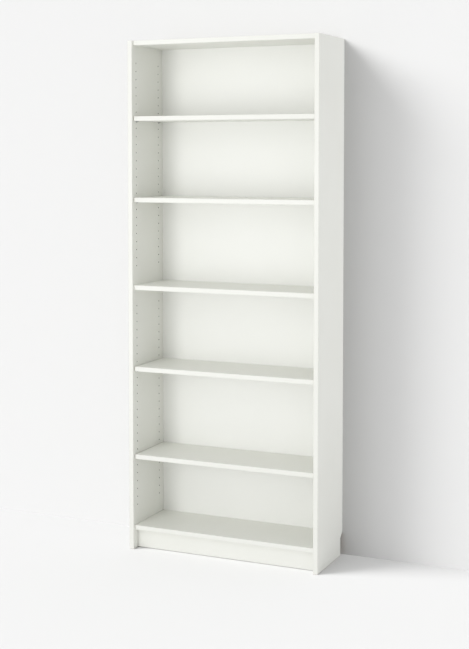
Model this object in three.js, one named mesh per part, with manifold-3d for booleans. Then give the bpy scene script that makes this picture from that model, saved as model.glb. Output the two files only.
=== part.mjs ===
// A tall open bookcase: two sides drilled for shelf pins, three boards held by cam fittings,
// a plinth, a thin back panel and four loose shelves.
// Lengths are in millimetres. X runs to the right, Y runs from the front to the wall, Z runs up.
// The origin is on the floor, in the middle of the case's width and depth.
import * as THREE from "three";
import { mergeVertices } from "three/addons/utils/BufferGeometryUtils.js";
import Module from "manifold-3d";

const wasm = await Module();
wasm.setup();

// Overall sizes
const caseWidth = 800;
const caseDepth = 280;
const caseHeight = 2020;
const boardThickness = 18.5;
const edgeEase = 0.6;
const fitGap = 0.2;
const cutOverrun = 2;
const weldDistance = 0.001;

// Where the boards lie
const boardRecess = 12;
const fixedShelfTop = 1057;
const bottomShelfTop = 94.5;
const plinthRecess = 36;
const plinthFloorGap = 1.5;

// The back panel, in a groove in each side
const backThickness = 3;
const backInset = 15;
const backGrooveDepth = 6;
const backEdgeMargin = 2;

// The notch for a skirting board at the rear of each side
const skirtingNotchDepth = 22.5;
const skirtingNotchHeight = 69;
const skirtingNotchRise = 21;

// The drilled rows that take shelf pins and the bolts' studs
const pegHoleRadius = 2.5;
const pegHoleDepth = 11;
const pegRowPitch = 32;
const pegRowLowest = 173;
const pegRowTopMargin = 80;
const pegRowFreeBand = 64;
const pegFrontInset = 35;
const pegRearInset = 56;
const drilledSides = 8;

// The loose shelves. Each rests on the pins of one row, picked as a share of the rows
// above or below the fixed shelf.
const looseShelfSideGap = 2;
const looseShelfRearGap = 1;
const upperShelfRowShares = [0.72, 0.32];
const lowerShelfRowShares = [0.68, 0.24];

// A shelf pin: a shaft in the drilled hole, a plate in the gap at the shelf's end
// and a tab with a rib under the shelf
const pinRadialClearance = 0.2;
const pinShaftLength = 9;
const pinAboveUnderside = 3;
const pinPlateThickness = 1.2;
const pinPlateWidth = 10;
const pinPlateRise = 5;
const pinTabReach = 11;
const pinTabThickness = 1.5;
const pinRibDrop = 4;
const pinRibThickness = 1.8;
const pinRibFoot = 1.5;

// A cam bolt
const boltStudLength = 9.5;
const boltCollarRadius = 3.6;
const boltCollarLength = 2;
const boltNeckRadius = 2.1;
const boltHeadRadius = 3.3;
const boltHeadLength = 2.8;
const boltBoreRadius = 4.1;

// A cam lock, and the pocket that it turns in
const camSetback = 24;
const camRadius = 7.4;
const camHeight = 12.4;
const camPocketRadius = 7.7;
const camPocketDepth = 13;
const camFaceSink = 0.3;
const camSides = 12;
const camFloorThickness = 5.2;
const camChamberRadius = 4.7;
const camChamberOffset = 0.9;
const camChamberSides = 8;
const camWindowHalfAngle = THREE.MathUtils.degToRad(80);
const camWindowSteps = 4;
const camCrossLength = 8;
const camCrossWidth = 1.6;
const camCrossDepth = 2.4;

// Wooden dowels
const dowelRadius = 3.8;
const dowelInSide = 10;
const dowelInBoard = 20;
const dowelBoreClearance = 0.2;
const dowelBoreEndGap = 1;

// The angle bracket that holds the case to the wall
const bracketWidth = 30;
const bracketThickness = 2;
const bracketFootLength = 42;
const bracketWallLeg = 20;
const bracketBendRadius = 2;
const bracketBendSteps = 3;
const bracketHoleRadius = 2.6;
const bracketHoleSides = 12;
const bracketFootHoleInset = 11;
const bracketWallHoleInset = 8;

// Planes and places that follow from the sizes above
const innerHalfWidth = caseWidth / 2 - boardThickness;
const frontPlane = -caseDepth / 2;
const rearPlane = caseDepth / 2;
const boardFront = frontPlane + boardRecess;
const backFront = rearPlane - backInset - backThickness;
const pegColumns = [
  { place: "front", y: frontPlane + pegFrontInset },
  { place: "rear", y: rearPlane - pegRearInset },
];
const dowelY = (pegColumns[0].y + pegColumns[1].y) / 2;
const ends = [
  { hand: "left", side: -1 },
  { hand: "right", side: 1 },
];

// The three boards that the cam fittings hold, each with the face that its cams are on
const fixedBoards = [
  { name: "top_panel", joint: "top", top: caseHeight, camFace: 1 },
  { name: "fixed_shelf", joint: "middle", top: fixedShelfTop, camFace: -1 },
  { name: "bottom_shelf", joint: "bottom", top: bottomShelfTop, camFace: -1 },
];

// Materials
const whiteFoil = new THREE.MeshStandardMaterial({ color: 0xf1f2ec, roughness: 0.55, metalness: 0 });
const whiteHardboard = new THREE.MeshStandardMaterial({ color: 0xeeefe8, roughness: 0.6, metalness: 0 });
const zincPlate = new THREE.MeshStandardMaterial({ color: 0xa9adb0, roughness: 0.4, metalness: 0.9 });
const zincCasting = new THREE.MeshStandardMaterial({ color: 0x8f9396, roughness: 0.55, metalness: 0.8 });
const beech = new THREE.MeshStandardMaterial({ color: 0xd8b98c, roughness: 0.8, metalness: 0 });

// Directions that an outline's own x, y and depth are turned to
const xAxis = new THREE.Vector3(1, 0, 0);
const yAxis = new THREE.Vector3(0, 1, 0);
const zAxis = new THREE.Vector3(0, 0, 1);
const alongX = new THREE.Matrix4().makeBasis(yAxis, zAxis, xAxis);
const alongY = new THREE.Matrix4().makeBasis(xAxis, zAxis, yAxis.clone().negate());

// Turns a closed geometry into a solid that can be cut and joined.
function solidOf(geometry) {
  const bare = geometry.clone();
  bare.deleteAttribute("normal");
  bare.deleteAttribute("uv");
  const merged = mergeVertices(bare, weldDistance);
  const mesh = new wasm.Mesh({
    numProp: 3,
    vertProperties: merged.attributes.position.array,
    triVerts: new Uint32Array(merged.index.array),
  });
  return new wasm.Manifold(mesh);
}

// Turns a solid back into a geometry with flat faces.
function geometryOf(solid) {
  const mesh = solid.getMesh();
  const geometry = new THREE.BufferGeometry();
  geometry.setAttribute("position", new THREE.BufferAttribute(mesh.vertProperties, mesh.numProp));
  geometry.setIndex(new THREE.BufferAttribute(mesh.triVerts, 1));
  const faceted = geometry.toNonIndexed();
  faceted.computeVertexNormals();
  return faceted;
}

// Two places in rising order.
function rising(a, b) {
  return a < b ? [a, b] : [b, a];
}

function cut(body, tools) {
  return tools.reduce((left, tool) => left.subtract(solidOf(tool)), body);
}

// A box from one corner to the other.
function boxBetween(low, high) {
  const size = high.map((value, i) => value - low[i]);
  const middle = high.map((value, i) => (value + low[i]) / 2);
  return new THREE.BoxGeometry(...size).translate(...middle);
}

// A round bar along X from one place to another.
function barAlongX(radius, from, to, sides) {
  const bar = new THREE.CylinderGeometry(radius, radius, to - from, sides);
  return bar.rotateZ(-Math.PI / 2).translate((from + to) / 2, 0, 0);
}

// A round bar along Z from one place to another.
function barAlongZ(radius, from, to, sides) {
  const bar = new THREE.CylinderGeometry(radius, radius, to - from, sides);
  return bar.rotateX(Math.PI / 2).translate(0, 0, (from + to) / 2);
}

// A turned piece along X. The profile's points are [place along X, radius].
function turnedAlongX(profile, sides) {
  const points = profile.map(([place, radius]) => new THREE.Vector2(radius, place));
  return new THREE.LatheGeometry(points, sides).rotateZ(-Math.PI / 2);
}

function outlineOf(points) {
  return new THREE.Shape(points.map(([a, b]) => new THREE.Vector2(a, b)));
}

// A plain extrusion of an outline, centred on its own depth.
function extrusion(points, depth) {
  const settings = { depth, bevelEnabled: false };
  return new THREE.ExtrudeGeometry(outlineOf(points), settings).translate(0, 0, -depth / 2);
}

function namedMesh(name, geometry, material) {
  const mesh = new THREE.Mesh(geometry, material);
  mesh.name = name;
  return mesh;
}

// The heights of the drilled rows. No row is drilled close to the fixed shelf.
function pegRowHeights() {
  const fixedMiddle = fixedShelfTop - boardThickness / 2;
  const heights = [];
  for (let z = pegRowLowest; z <= caseHeight - pegRowTopMargin; z += pegRowPitch) {
    if (Math.abs(z - fixedMiddle) > pegRowFreeBand) heights.push(z);
  }
  return heights;
}

// The rows that carry the loose shelves, from the highest shelf to the lowest.
function looseShelfRows() {
  const rows = pegRowHeights();
  const upper = rows.filter((z) => z > fixedShelfTop);
  const lower = rows.filter((z) => z < fixedShelfTop);
  const pick = (group) => (share) => group[Math.round(share * (group.length - 1))];
  return [...upperShelfRowShares.map(pick(upper)), ...lowerShelfRowShares.map(pick(lower))];
}

// A side panel's outline, front edge to rear edge, with the skirting notch.
function sideOutline() {
  const notchFront = rearPlane - skirtingNotchDepth;
  return [
    [frontPlane, 0],
    [notchFront, 0],
    [notchFront, skirtingNotchHeight],
    [rearPlane, skirtingNotchHeight + skirtingNotchRise],
    [rearPlane, caseHeight],
    [frontPlane, caseHeight],
  ];
}

// A blind hole in a side panel's inner face, which looks towards the middle of the case.
function blindHole(side, radius, depth, y, z) {
  const innerFace = (-side * boardThickness) / 2;
  const [from, to] = rising(innerFace + side * depth, innerFace - side * cutOverrun);
  return barAlongX(radius, from, to, drilledSides).translate(0, y, z);
}

// The groove that holds the back panel's edge.
function backGroove(side) {
  const innerFace = (-side * boardThickness) / 2;
  const [from, to] = rising(innerFace + side * backGrooveDepth, innerFace - side * cutOverrun);
  return boxBetween(
    [from, backFront - fitGap, -cutOverrun],
    [to, backFront + backThickness + fitGap, caseHeight + cutOverrun],
  );
}

function plinthMiddle() {
  return (plinthFloorGap + bottomShelfTop - boardThickness - fitGap) / 2;
}

function plinthDowelY() {
  return frontPlane + plinthRecess + boardThickness / 2;
}

function sidePanel({ hand, side }) {
  const settings = {
    depth: boardThickness - 2 * edgeEase,
    bevelThickness: edgeEase,
    bevelSize: edgeEase,
    bevelOffset: -edgeEase,
    bevelSegments: 1,
  };
  const blank = new THREE.ExtrudeGeometry(outlineOf(sideOutline()), settings);
  blank.translate(0, 0, -settings.depth / 2).applyMatrix4(alongX);
  const dowelBore = dowelRadius + dowelBoreClearance;
  const dowelDepth = dowelInSide + dowelBoreEndGap;
  const tools = [backGroove(side), blindHole(side, dowelBore, dowelDepth, plinthDowelY(), plinthMiddle())];
  for (const column of pegColumns) {
    for (const z of pegRowHeights()) tools.push(blindHole(side, pegHoleRadius, pegHoleDepth, column.y, z));
  }
  for (const board of fixedBoards) {
    const z = board.top - boardThickness / 2;
    tools.push(blindHole(side, dowelBore, dowelDepth, dowelY, z));
    for (const column of pegColumns) tools.push(blindHole(side, pegHoleRadius, pegHoleDepth, column.y, z));
  }
  const mesh = namedMesh("side_panel_" + hand, geometryOf(cut(solidOf(blank), tools)), whiteFoil);
  mesh.position.x = side * (innerHalfWidth + boardThickness / 2);
  return mesh;
}

// A board's blank, centred on its thickness and width, with its long edges eased.
function boardBlank(width, front, rear, height) {
  const half = height / 2;
  const profile = [
    [front + edgeEase, -half],
    [rear - edgeEase, -half],
    [rear, edgeEase - half],
    [rear, half - edgeEase],
    [rear - edgeEase, half],
    [front + edgeEase, half],
    [front, half - edgeEase],
    [front, edgeEase - half],
  ];
  return extrusion(profile, width).applyMatrix4(alongX);
}

// A bore along X into both ends of a board that has this half width.
function endBores(halfWidth, radius, depth, y, z) {
  return ends.map(({ side }) => {
    const [from, to] = rising(side * (halfWidth - depth), side * (halfWidth + cutOverrun));
    return barAlongX(radius, from, to, drilledSides).translate(0, y, z);
  });
}

// The round pockets that hold a board's cams, cut from the face that the cams show on.
function camPockets(halfWidth, camFace) {
  const face = (camFace * boardThickness) / 2;
  const [from, to] = rising(face - camFace * camPocketDepth, face + camFace * cutOverrun);
  return ends.flatMap(({ side }) =>
    pegColumns.map(({ y }) => {
      const pocket = barAlongZ(camPocketRadius, from, to, camSides);
      return pocket.translate(side * (halfWidth - camSetback), y, 0);
    }),
  );
}

function fixedBoard({ name, top, camFace }) {
  const halfWidth = innerHalfWidth - fitGap;
  const blank = boardBlank(2 * halfWidth, boardFront, backFront - fitGap, boardThickness);
  const dowelBore = dowelRadius + dowelBoreClearance;
  const tools = [
    ...camPockets(halfWidth, camFace),
    ...pegColumns.flatMap(({ y }) => endBores(halfWidth, boltBoreRadius, camSetback, y, 0)),
    ...endBores(halfWidth, dowelBore, dowelInBoard + dowelBoreEndGap, dowelY, 0),
  ];
  const mesh = namedMesh(name, geometryOf(cut(solidOf(blank), tools)), whiteFoil);
  mesh.position.z = top - boardThickness / 2;
  return mesh;
}

function plinth() {
  const halfWidth = innerHalfWidth - fitGap;
  const halfHeight = plinthMiddle() - plinthFloorGap;
  const halfThickness = boardThickness / 2;
  const blank = boxBetween(
    [-halfWidth, -halfThickness, -halfHeight],
    [halfWidth, halfThickness, halfHeight],
  );
  const bores = endBores(halfWidth, dowelRadius + dowelBoreClearance, dowelInBoard + dowelBoreEndGap, 0, 0);
  const mesh = namedMesh("plinth", geometryOf(cut(solidOf(blank), bores)), whiteFoil);
  mesh.position.set(0, plinthDowelY(), plinthMiddle());
  return mesh;
}

function backPanel() {
  const halfWidth = innerHalfWidth + backGrooveDepth - fitGap;
  const sheet = boxBetween(
    [-halfWidth, backFront, bottomShelfTop - boardThickness + backEdgeMargin],
    [halfWidth, backFront + backThickness, caseHeight - backEdgeMargin],
  );
  return namedMesh("back_panel", sheet, whiteHardboard);
}

function looseShelf(number, rowHeight) {
  const width = 2 * (innerHalfWidth - looseShelfSideGap);
  const board = boardBlank(width, boardFront, backFront - looseShelfRearGap, boardThickness);
  const mesh = namedMesh("adjustable_shelf_" + number, board, whiteFoil);
  mesh.position.z = rowHeight - pinAboveUnderside + boardThickness / 2;
  return mesh;
}

// A shelf pin, from the panel's inner face at the hole's axis. It points into the case along +X.
function shelfPinGeometry() {
  const tabTop = -pinAboveUnderside - fitGap;
  const tabBottom = tabTop - pinTabThickness;
  const plateFace = fitGap + pinPlateThickness;
  const tabEnd = fitGap + pinTabReach;
  const angle = [
    [fitGap, tabBottom],
    [tabEnd, tabBottom],
    [tabEnd, tabTop],
    [plateFace, tabTop],
    [plateFace, pinPlateRise],
    [fitGap, pinPlateRise],
  ];
  const rib = [
    [fitGap, tabBottom - pinRibDrop],
    [plateFace, tabBottom - pinRibDrop],
    [tabEnd - pinRibFoot, tabBottom],
    [tabEnd - pinRibFoot, tabTop - pinTabThickness / 2],
    [fitGap, tabTop - pinTabThickness / 2],
  ];
  const plate = extrusion(angle, pinPlateWidth).applyMatrix4(alongY);
  const web = extrusion(rib, pinRibThickness).applyMatrix4(alongY);
  const middle = fitGap + pinPlateThickness / 2;
  const shaft = barAlongX(pegHoleRadius - pinRadialClearance, -pinShaftLength, middle, drilledSides);
  return geometryOf(solidOf(plate).add(solidOf(web)).add(solidOf(shaft)));
}

// A cam bolt, from the panel's inner face. Its stud is in the side, its head in the cam.
function camBoltGeometry() {
  const studRadius = pegHoleRadius - pinRadialClearance;
  const headStart = fitGap + camSetback - boltHeadLength / 2;
  const headEnd = headStart + boltHeadLength;
  const collarEnd = fitGap + boltCollarLength;
  return turnedAlongX(
    [
      [-boltStudLength, 0],
      [-boltStudLength, studRadius],
      [fitGap, studRadius],
      [fitGap, boltCollarRadius],
      [collarEnd, boltCollarRadius],
      [collarEnd, boltNeckRadius],
      [headStart, boltNeckRadius],
      [headStart, boltHeadRadius],
      [headEnd, boltHeadRadius],
      [headEnd, 0],
    ],
    drilledSides,
  );
}

// A cam lock with its drive face at the bottom. Its window looks along -X, where the bolt comes in.
function camLockGeometry() {
  const neckHeight = boardThickness / 2 - camFaceSink;
  const barrel = solidOf(barAlongZ(camRadius, 0, camHeight, camSides));
  const chamber = barAlongZ(camChamberRadius, camFloorThickness, camHeight + cutOverrun, camChamberSides);
  chamber.translate(camChamberOffset, 0, 0);
  const windowHalfHeight = boltNeckRadius + pinRadialClearance;
  const windowReach = camRadius + cutOverrun;
  const sector = [[0, 0]];
  for (let i = 0; i <= camWindowSteps; i++) {
    const angle = Math.PI + camWindowHalfAngle * ((2 * i) / camWindowSteps - 1);
    sector.push([windowReach * Math.cos(angle), windowReach * Math.sin(angle)]);
  }
  const window = extrusion(sector, 2 * windowHalfHeight).translate(0, 0, neckHeight);
  const crossArm = [camCrossLength / 2, camCrossWidth / 2, camCrossDepth];
  const arms = [crossArm, [crossArm[1], crossArm[0], crossArm[2]]];
  const drive = arms.map(([x, y, z]) => boxBetween([-x, -y, -cutOverrun], [x, y, z]));
  return geometryOf(cut(barrel, [chamber, window, ...drive]));
}

// A dowel across the joint between a side and a board, from the panel's inner face.
function dowelGeometry() {
  return barAlongX(dowelRadius, -dowelInSide, dowelInBoard, drilledSides);
}

// The angle bracket's outline from the side: a foot on the top panel and a leg up the wall.
function bracketOutline() {
  const foot = rearPlane - bracketFootLength;
  const under = caseHeight + fitGap;
  const tip = under + bracketWallLeg;
  const bendInset = bracketThickness + bracketBendRadius;
  const centre = [rearPlane - bendInset, under + bendInset];
  const bend = (radius, i) => {
    const angle = ((Math.PI / 2) * i) / bracketBendSteps - Math.PI / 2;
    return [centre[0] + radius * Math.cos(angle), centre[1] + radius * Math.sin(angle)];
  };
  const steps = [...Array(bracketBendSteps + 1).keys()];
  const outer = steps.map((i) => bend(bracketBendRadius + bracketThickness, i));
  const inner = steps.map((i) => bend(bracketBendRadius, i)).reverse();
  return [
    [foot, under],
    ...outer,
    [rearPlane, tip],
    [rearPlane - bracketThickness, tip],
    ...inner,
    [foot, under + bracketThickness],
  ];
}

function wallBracket() {
  const angle = extrusion(bracketOutline(), bracketWidth).applyMatrix4(alongX);
  const under = caseHeight + fitGap;
  const footTop = under + bracketThickness;
  const footHole = barAlongZ(bracketHoleRadius, under - cutOverrun, footTop + cutOverrun, bracketHoleSides);
  footHole.translate(0, rearPlane - bracketFootLength + bracketFootHoleInset, 0);
  const wallHole = new THREE.CylinderGeometry(
    bracketHoleRadius,
    bracketHoleRadius,
    2 * (bracketThickness + cutOverrun),
    bracketHoleSides,
  );
  wallHole.translate(0, rearPlane, under + bracketWallLeg - bracketWallHoleInset);
  return namedMesh("wall_bracket", geometryOf(cut(solidOf(angle), [footHole, wallHole])), zincPlate);
}

// A fitting on a side's inner face. It points into the case, so on the right it is turned round.
function onInnerFace(mesh, side, y, z) {
  mesh.position.set(side * innerHalfWidth, y, z);
  if (side > 0) mesh.rotation.z = Math.PI;
  return mesh;
}

// The pins of one loose shelf, one in each column of each side.
function shelfPins(number, rowHeight) {
  const geometry = shelfPinGeometry();
  return ends.flatMap(({ hand, side }) =>
    pegColumns.map(({ place, y }) => {
      const name = ["shelf_pin", number, place, hand].join("_");
      return onInnerFace(namedMesh(name, geometry, zincPlate), side, y, rowHeight);
    }),
  );
}

// The cam fittings and dowels that hold one fixed board to both sides.
function boardFittings({ joint, top, camFace }) {
  const middle = top - boardThickness / 2;
  const camFaceHeight = camFace * (boardThickness / 2 - camFaceSink);
  const bolt = camBoltGeometry();
  const cam = camLockGeometry();
  const dowel = dowelGeometry();
  return ends.flatMap(({ hand, side }) => {
    const pegMesh = namedMesh(["dowel", joint, hand].join("_"), dowel, beech);
    const fittings = [onInnerFace(pegMesh, side, dowelY, middle)];
    for (const { place, y } of pegColumns) {
      const label = [joint, place, hand].join("_");
      fittings.push(onInnerFace(namedMesh("cam_bolt_" + label, bolt, zincPlate), side, y, middle));
      const lock = namedMesh("cam_lock_" + label, cam, zincCasting);
      lock.position.set(side * (innerHalfWidth - fitGap - camSetback), y, middle + camFaceHeight);
      lock.rotation.set(camFace > 0 ? Math.PI : 0, 0, side > 0 ? Math.PI : 0);
      fittings.push(lock);
    }
    return fittings;
  });
}

function plinthDowels() {
  const dowel = dowelGeometry();
  return ends.map(({ hand, side }) => {
    const mesh = namedMesh("dowel_plinth_" + hand, dowel, beech);
    return onInnerFace(mesh, side, plinthDowelY(), plinthMiddle());
  });
}

const carcass = new THREE.Group();
carcass.add(...ends.map(sidePanel));
carcass.add(...fixedBoards.map(fixedBoard));
carcass.add(plinth(), backPanel(), wallBracket());
carcass.add(...fixedBoards.flatMap(boardFittings), ...plinthDowels());

const looseShelves = new THREE.Group();
looseShelfRows().forEach((rowHeight, i) => {
  const number = i + 1;
  carcass.add(...shelfPins(number, rowHeight));
  looseShelves.add(looseShelf(number, rowHeight));
});

const bookcase = new THREE.Group();
bookcase.add(carcass, looseShelves);

export default bookcase;
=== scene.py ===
# A tall open bookcase in white foil: two drilled sides, three boards on cam fittings, a plinth,
# a hardboard back, four loose shelves on steel pins and an angle bracket for the wall.
# Lengths are in metres. X runs to the right, Y from the front to the wall, Z up.
import math
import random

import bmesh
import bpy
from mathutils import Matrix, Vector


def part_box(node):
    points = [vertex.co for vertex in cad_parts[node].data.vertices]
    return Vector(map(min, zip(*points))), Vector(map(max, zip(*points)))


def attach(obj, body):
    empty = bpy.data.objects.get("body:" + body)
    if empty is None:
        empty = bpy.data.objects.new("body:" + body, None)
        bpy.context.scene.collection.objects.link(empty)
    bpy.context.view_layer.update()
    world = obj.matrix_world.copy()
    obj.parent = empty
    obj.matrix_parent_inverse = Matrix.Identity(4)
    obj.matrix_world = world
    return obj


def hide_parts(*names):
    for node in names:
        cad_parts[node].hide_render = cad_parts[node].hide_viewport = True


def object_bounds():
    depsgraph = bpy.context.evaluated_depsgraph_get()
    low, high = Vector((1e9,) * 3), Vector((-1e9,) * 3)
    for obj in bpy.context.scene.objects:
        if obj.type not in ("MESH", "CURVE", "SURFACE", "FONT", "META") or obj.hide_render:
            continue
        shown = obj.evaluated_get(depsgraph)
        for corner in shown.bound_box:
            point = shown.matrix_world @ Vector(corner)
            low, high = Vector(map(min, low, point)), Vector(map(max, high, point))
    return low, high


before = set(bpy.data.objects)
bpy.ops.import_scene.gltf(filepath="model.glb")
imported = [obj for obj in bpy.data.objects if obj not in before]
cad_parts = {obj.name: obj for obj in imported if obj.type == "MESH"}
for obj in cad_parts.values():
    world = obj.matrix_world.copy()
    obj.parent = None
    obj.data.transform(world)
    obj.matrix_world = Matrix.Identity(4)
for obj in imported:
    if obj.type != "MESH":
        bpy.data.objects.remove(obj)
cad_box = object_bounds()

MM = 0.001
X, Y, Z = Vector((1, 0, 0)), Vector((0, 1, 0)), Vector((0, 0, 1))
TOUCH = 0.001 * MM

# How much of a normal lies along a direction when a face is square to it, faces it or leans to it.
# SQUARE also tells an edge that runs along an axis.
SQUARE = 0.9999
FACING = 0.9
LEANING = 0.5

# The camera as fitted to the photograph, with its turn and tilt in degrees. The picture is
# upright, so its height takes up the whole sensor size.
PHOTO_HEIGHT = 649
SENSOR_SIZE = 36
FOCAL_PIXELS = 1286.87
SHIFT_PIXELS = -100
CAMERA_PLACE = (2.0487, -4.6037, 1.5668)
CAMERA_TURN = 24.02
CAMERA_TILT = -3.03

# Sides, columns of holes, loose shelves, and the fixed boards with the way that their cams face
SIDES = {"left": -1, "right": 1}
PLACES = ("front", "rear")
LOOSE_SHELVES = range(1, 5)
FIXED_BOARDS = {"top": "top_panel", "middle": "fixed_shelf", "bottom": "bottom_shelf"}
CAM_FACING = {"top": 1, "middle": -1, "bottom": -1}

# Edges of the boards. On faces of more than BROAD_AREA square metres, wear fades within a band.
BOARD_EASE = 0.6 * MM
BACK_EASE = 0.3 * MM
EASE_STEPS = 3
SMALL_EASE_STEPS = 2
WEAR_BAND = 5 * MM
BROAD_AREA = 0.002
SMOOTH_ANGLE = math.radians(40)
FIT_GAP = 0.2 * MM

# A piece's skin is its first finish. The bare wood and the bores come after it.
BARE_INDEX = 1
BORE_INDEX = 2

# The skirting notch and the back panel's groove in each side
NOTCH_DEPTH = 22.5 * MM
NOTCH_HEIGHT = 69 * MM
NOTCH_RISE = 21 * MM
GROOVE_DEPTH = 6 * MM

# Drilled holes, and the starts of round rims and of driver recesses
RIM_INSET_SHARE = 0.1
RECESS_INSET = 0.2 * MM
PEG_RADIUS = 2.5 * MM
PEG_DEPTH = 11 * MM
PEG_CONE = 1.1 * MM
PEG_PITCH = 32 * MM
PEG_LOWEST = 173 * MM
PEG_TOP_MARGIN = 80 * MM
PEG_FREE_BAND = 64 * MM
PEG_CELL = 5 * MM
PEG_STEPS = 16
DOWEL_BORE_RADIUS = 4 * MM
DOWEL_BORE_DEPTH = 11 * MM
DOWEL_BORE_IN_BOARD = 21 * MM
BOLT_BORE_RADIUS = 4.1 * MM
END_CELL = 5.5 * MM

# Cam locks and their pockets
CAM_RADIUS = 7.4 * MM
CAM_HEIGHT = 12.4 * MM
CAM_SETBACK = 24 * MM
CAM_POCKET_RADIUS = 7.7 * MM
CAM_POCKET_DEPTH = 13 * MM
CAM_CELL = 9.5 * MM
CAM_STEPS = 48
CAM_EDGE = 0.4 * MM
CAM_FLOOR = 5.2 * MM
CAM_CHAMBER_RADIUS = 4.7 * MM
CAM_WINDOW_LOW = 6.6 * MM
CAM_WINDOW_HIGH = 11.2 * MM
CAM_WINDOW_HALF_ANGLE = math.radians(80)
CAM_CROSS_ARM = 4 * MM
CAM_CROSS_HALF_WIDTH = 0.8 * MM
CAM_CROSS_DEPTH = 2.4 * MM
CAM_MARK_REACH = 6.4 * MM
CAM_MARK_SIZE = 1.3 * MM
CAM_MARK_RISE = 0.2 * MM

# Cam bolts, measured from the side's inner face
BOLT_STUD_LENGTH = 9.5 * MM
BOLT_STUD_RADIUS = 2.3 * MM
BOLT_ROOT_RADIUS = 1.75 * MM
BOLT_TIP = 1 * MM
BOLT_THREAD_PITCH = 1.9 * MM
BOLT_THREAD_END = 0.6 * MM
BOLT_THREAD_CUTS = 30
BOLT_COLLAR_RADIUS = 3.6 * MM
BOLT_COLLAR_LENGTH = 2 * MM
BOLT_NECK_RADIUS = 2.1 * MM
BOLT_HEAD_RADIUS = 3.3 * MM
BOLT_HEAD_LENGTH = 2.8 * MM
BOLT_EASE = 0.5 * MM
BOLT_STEPS = 24

# Grooved dowels, measured from the side's inner face
DOWEL_RADIUS = 3.8 * MM
DOWEL_IN_SIDE = 10 * MM
DOWEL_IN_BOARD = 20 * MM
DOWEL_CHAMFER = 1 * MM
DOWEL_GROOVE_DEPTH = 0.35 * MM
DOWEL_GROOVES = 16
DOWEL_STEPS_PER_GROOVE = 4

# Shelf pins, measured from the side's inner face and the middle of the hole
PIN_SHAFT_RADIUS = 2.3 * MM
PIN_SHAFT_LENGTH = 9 * MM
PIN_TIP = 0.6 * MM
PIN_TIP_STEPS = 3
PIN_STEPS = 20
PIN_DROP = 3 * MM
PIN_PLATE_THICKNESS = 1.2 * MM
PIN_PLATE_RISE = 5 * MM
PIN_WIDTH = 10 * MM
PIN_TAB_REACH = 11 * MM
PIN_TAB_THICKNESS = 1.5 * MM
PIN_TAB_CORNER = 2.6 * MM
PIN_TAB_CORNER_STEPS = 5
PIN_RIB_DROP = 4 * MM
PIN_RIB_THICKNESS = 1.8 * MM
PIN_RIB_FOOT = 1.5 * MM
PIN_EASE = 0.2 * MM
PIN_PLATE_START = FIT_GAP
PIN_PLATE_END = PIN_PLATE_START + PIN_PLATE_THICKNESS
PIN_TAB_END = PIN_PLATE_START + PIN_TAB_REACH
PIN_TAB_TOP = -PIN_DROP - FIT_GAP
PIN_TAB_BOTTOM = PIN_TAB_TOP - PIN_TAB_THICKNESS

# The angle bracket and its screw, whose turn is in radians
BRACKET_THICKNESS = 2 * MM
BRACKET_BEND = 2 * MM
BRACKET_BEND_STEPS = 6
BRACKET_CORNER = 5 * MM
BRACKET_CORNER_STEPS = 6
BRACKET_HOLE_RADIUS = 2.6 * MM
BRACKET_HOLE_STEPS = 32
BRACKET_CELL = 6.5 * MM
BRACKET_FOOT_HOLE = 11 * MM
BRACKET_WALL_HOLE = 8 * MM
BRACKET_EASE = 0.15 * MM
BRACKET_SHARP = math.radians(60)
SCREW_HEAD_RADIUS = 4.3 * MM
SCREW_HEAD_RISE = 2.1 * MM
SCREW_RIM_SHARE = 0.25
SCREW_TOP_SHARE = 0.55
SCREW_DOME_STEPS = 5
SCREW_STEPS = 24
SCREW_ARM = 2.1 * MM
SCREW_ARM_HALF_WIDTH = 0.45 * MM
SCREW_RECESS_DEPTH = 1.3 * MM
SCREW_TURN = 0.35

# Nails that hold the back panel. They lean by up to NAIL_LEAN radians.
NAIL_SEED = 11
NAIL_LEAN = 0.06
NAIL_HEAD_RADIUS = 1.9 * MM
NAIL_HEAD_RISE = 0.5 * MM
NAIL_TOP_SHARE = 0.8
NAIL_EASE_SHARE = 0.3
NAIL_STEPS = 14
NAIL_MARGIN = 22 * MM
NAILS_PER_BOARD = 9
NAIL_WANDER = 3 * MM

# Colours as they are written on the surfaces
FOIL_WHITE = (0.86, 0.866, 0.821, 1)
FOIL_SHADE = (0.83, 0.835, 0.785, 1)
FOIL_WORN = (0.66, 0.655, 0.60, 1)
BACK_WHITE = (0.975, 0.98, 0.951, 1)
BACK_SHADE = (0.95, 0.955, 0.925, 1)
CHIP_PALE = (0.58, 0.47, 0.33, 1)
CHIP_MIDDLE = (0.43, 0.33, 0.22, 1)
CHIP_DARK = (0.21, 0.155, 0.10, 1)
# The bores' two colours are painted shade: far darker than bare chipboard, because the inside of a hole
# lies in shade.
BORE_SHADE_DARK = (0.085, 0.083, 0.07, 1)
BORE_SHADE_GREY = (0.19, 0.18, 0.15, 1)
FIBRE_PALE = (0.36, 0.235, 0.135, 1)
FIBRE_DARK = (0.215, 0.13, 0.068, 1)
ZINC_PALE = (0.52, 0.53, 0.545, 1)
ZINC_WARM = (0.47, 0.463, 0.44, 1)
CASTING_PALE = (0.52, 0.53, 0.545, 1)
CASTING_DARK = (0.33, 0.335, 0.34, 1)
NAIL_BRIGHT = (0.55, 0.55, 0.55, 1)
NAIL_DULL = (0.30, 0.27, 0.24, 1)
BEECH_PALE = (0.66, 0.46, 0.28, 1)
BEECH_DARK = (0.47, 0.29, 0.16, 1)
SKY_WHITE = (0.92, 0.92, 0.92, 1)
FLOOR_WHITE = (0.666, 0.666, 0.666, 1)
WALL_WHITE = (0.552, 0.552, 0.551, 1)

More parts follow.
